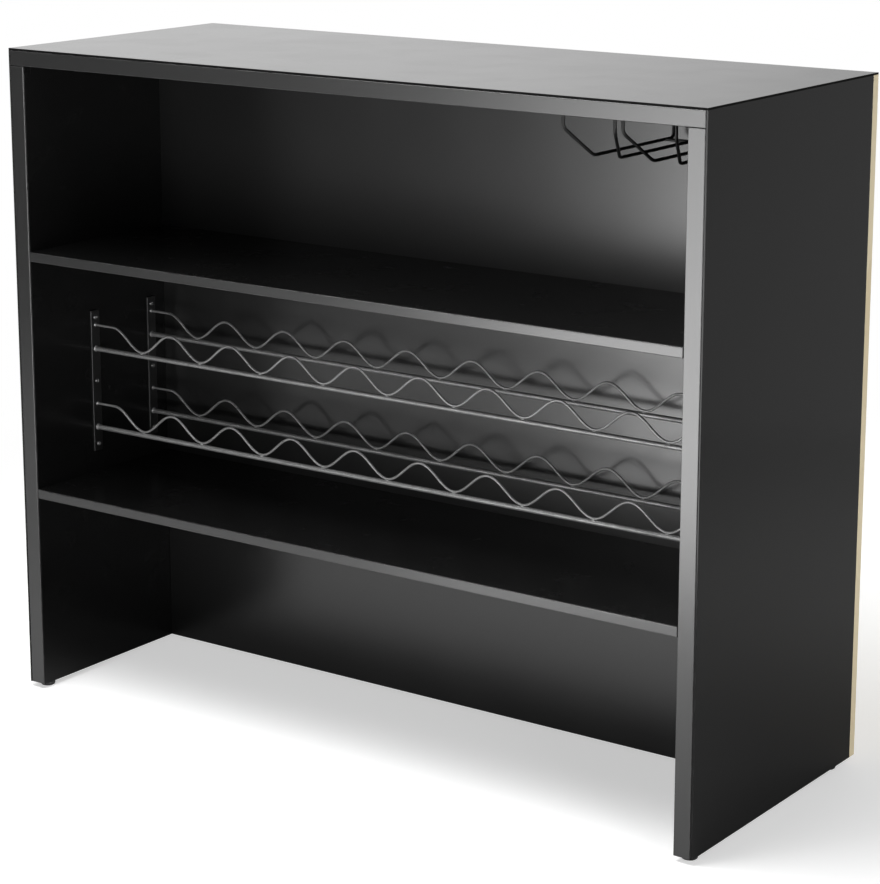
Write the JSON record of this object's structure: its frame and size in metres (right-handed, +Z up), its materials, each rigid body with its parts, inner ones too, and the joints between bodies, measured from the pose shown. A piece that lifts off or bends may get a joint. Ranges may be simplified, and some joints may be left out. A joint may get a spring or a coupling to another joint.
{
  "type": "bar counter with shelves",
  "caption": "Free-standing bar counter with an open serving side: shelves, a waved wire bottle rack, hanging stemware racks and a closed customer front.",
  "frame": {"origin": "on the floor, under the middle of the counter's bounding box", "axes": "+X along the counter to the right seen from the serving side, +Y from the serving side to the customer side, +Z up"},
  "size_m": [1.29, 0.505, 1.08],
  "materials": {
    "black_foil": "satin black foil on particle board",
    "black_gloss": "semi-gloss black laminate sheet",
    "black_banding": "satin black edge banding",
    "pale_wood": "pale wood decor",
    "rack_steel": "satin steel wire",
    "screw_steel": "zinc plated",
    "black_wire": "black coated wire",
    "glide_plastic": "black moulded plastic",
    "dowel_wood": "raw beech",
    "batten_wood": "raw spruce"
  },
  "bodies": {
    "root": {"back_panel": "black_foil", "bottle_wave_front_lower": "rack_steel", "bottle_wave_front_upper": "rack_steel", "bottle_wave_rear_lower": "rack_steel", "bottle_wave_rear_upper": "rack_steel", "customer_board": "pale_wood", "customer_board_batten_left": "batten_wood", "customer_board_batten_right": "batten_wood", "glide_left_front": "glide_plastic", "glide_left_rear": "glide_plastic", "glide_right_front": "glide_plastic", "glide_right_rear": "glide_plastic", "left_edge_band": "black_banding", "left_side_panel": "black_foil", "left_side_skin": "black_gloss", "lower_shelf": "black_foil", "lower_shelf_dowel_left_front": "dowel_wood", "lower_shelf_dowel_left_rear": "dowel_wood", "lower_shelf_dowel_right_front": "dowel_wood", "lower_shelf_dowel_right_rear": "dowel_wood", "lower_shelf_edge_band": "black_banding", "rack_rod_front_lower": "rack_steel", "rack_rod_front_upper": "rack_steel", "rack_rod_rear_lower": "rack_steel", "rack_rod_rear_upper": "rack_steel", "rack_screw_left_front_bottom": "screw_steel", "rack_screw_left_front_middle": "screw_steel", "rack_screw_left_front_top": "screw_steel", "rack_screw_left_rear_bottom": "screw_steel", "rack_screw_left_rear_middle": "screw_steel", "rack_screw_left_rear_top": "screw_steel", "rack_screw_right_front_bottom": "screw_steel", "rack_screw_right_front_middle": "screw_steel", "rack_screw_right_front_top": "screw_steel", "rack_screw_right_rear_bottom": "screw_steel", "rack_screw_right_rear_middle": "screw_steel", "rack_screw_right_rear_top": "screw_steel", "rack_upright_left_front": "rack_steel", "rack_upright_left_rear": "rack_steel", "rack_upright_right_front": "rack_steel", "rack_upright_right_rear": "rack_steel", "right_edge_band": "black_banding", "right_side_panel": "black_foil", "right_side_skin": "black_gloss", "stemware_rack_left": "black_wire", "stemware_rack_right": "black_wire", "top_dowel_left_front": "dowel_wood", "top_dowel_left_rear": "dowel_wood", "top_dowel_right_front": "dowel_wood", "top_dowel_right_rear": "dowel_wood", "top_edge_band": "black_banding", "top_panel": "black_foil", "top_skin": "black_gloss", "upper_shelf": "black_foil", "upper_shelf_dowel_left_front": "dowel_wood", "upper_shelf_dowel_left_rear": "dowel_wood", "upper_shelf_dowel_right_front": "dowel_wood", "upper_shelf_dowel_right_rear": "dowel_wood", "upper_shelf_edge_band": "black_banding"}
  },
  "joints": []
}
